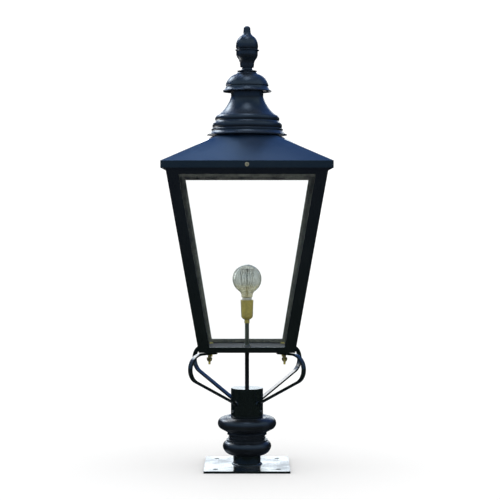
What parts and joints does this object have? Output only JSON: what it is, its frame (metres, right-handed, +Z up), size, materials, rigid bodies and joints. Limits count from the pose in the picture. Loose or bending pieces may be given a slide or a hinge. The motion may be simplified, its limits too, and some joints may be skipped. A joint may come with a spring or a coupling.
{
  "type": "post top lantern",
  "caption": "Tapered square post top lantern on a bolted spigot base, with scrolled arms, clear panes, a bare bulb and a hinged canopy with a spun chimney and finial.",
  "frame": {"origin": "middle of the base plate's underside, on the lantern's axis", "axes": "+Z up the lantern's axis, front towards -Y, +X to the right seen from the front"},
  "size_m": [0.45, 0.4635, 1.213],
  "materials": {
    "black_paint": "gloss black paint",
    "painted_casting": "gloss black paint over a casting",
    "aged_brass": "aged",
    "clear_glass": "clear",
    "plated_steel": "zinc plated",
    "nickel": "bright",
    "ceramic": "glazed ceramic",
    "filament_wire": "drawn wire"
  },
  "bodies": {
    "pedestal": {"base_plate": "black_paint", "spigot_tube": "black_paint", "knop": "painted_casting"},
    "lantern": {"collar_sleeve": "black_paint", "collar_disc": "black_paint", "set_screws": "plated_steel", "arm_front_right": "black_paint", "arm_back_right": "black_paint", "arm_back_left": "black_paint", "arm_front_left": "black_paint", "arm_washers": "black_paint", "post_front_right": "black_paint", "post_back_right": "black_paint", "post_back_left": "black_paint", "post_front_left": "black_paint", "bottom_rail_front": "black_paint", "bottom_rail_right": "black_paint", "bottom_rail_back": "black_paint", "bottom_rail_left": "black_paint", "top_rail_front": "black_paint", "top_rail_right": "black_paint", "top_rail_back": "black_paint", "top_rail_left": "black_paint", "pane_front": "clear_glass", "pane_right": "clear_glass", "pane_back": "clear_glass", "pane_left": "clear_glass", "glazing_beads_front": "black_paint", "glazing_beads_right": "black_paint", "glazing_beads_back": "black_paint", "glazing_beads_left": "black_paint", "floor_tray": "black_paint", "body_studs": "aged_brass", "body_nuts": "aged_brass", "stem": "plated_steel", "stem_locknuts": "plated_steel", "holder_base": "aged_brass", "holder_shell": "aged_brass", "holder_insert": "ceramic", "holder_contact": "aged_brass", "frame_hinge_leaves": "black_paint", "hinge_pins": "plated_steel"},
    "bulb": {"bulb_cap": "nickel", "bulb_glass": "clear_glass", "bulb_mount": "clear_glass", "bulb_supports": "plated_steel", "bulb_filament": "filament_wire"},
    "canopy": {"roof": "black_paint", "fascia": "black_paint", "chimney_moulding": "black_paint", "chimney": "black_paint", "vent_cap": "black_paint", "cap_spider": "plated_steel", "cap_spacer": "plated_steel", "finial_rod": "plated_steel", "rod_nut": "plated_steel", "finial": "black_paint", "canopy_hinge_leaves": "black_paint", "canopy_screw": "plated_steel", "canopy_screw_nut": "plated_steel"}
  },
  "joints": [
    {"name": "collar_turn", "type": "hinge", "parent": "pedestal", "child": "lantern", "pos_m": [0, 0, 0.135], "axis": [0, 0, 1], "continuous": true},
    {"name": "canopy_hinge", "type": "hinge", "parent": "lantern", "child": "canopy", "pos_m": [0, 0.23, 0.814], "axis": [-1, 0, 0], "range_deg": [0, 100]},
    {"name": "bulb_turn", "type": "hinge", "parent": "lantern", "child": "bulb", "pos_m": [0, 0, 0.45], "axis": [0, 0, 1], "continuous": true}
  ]
}
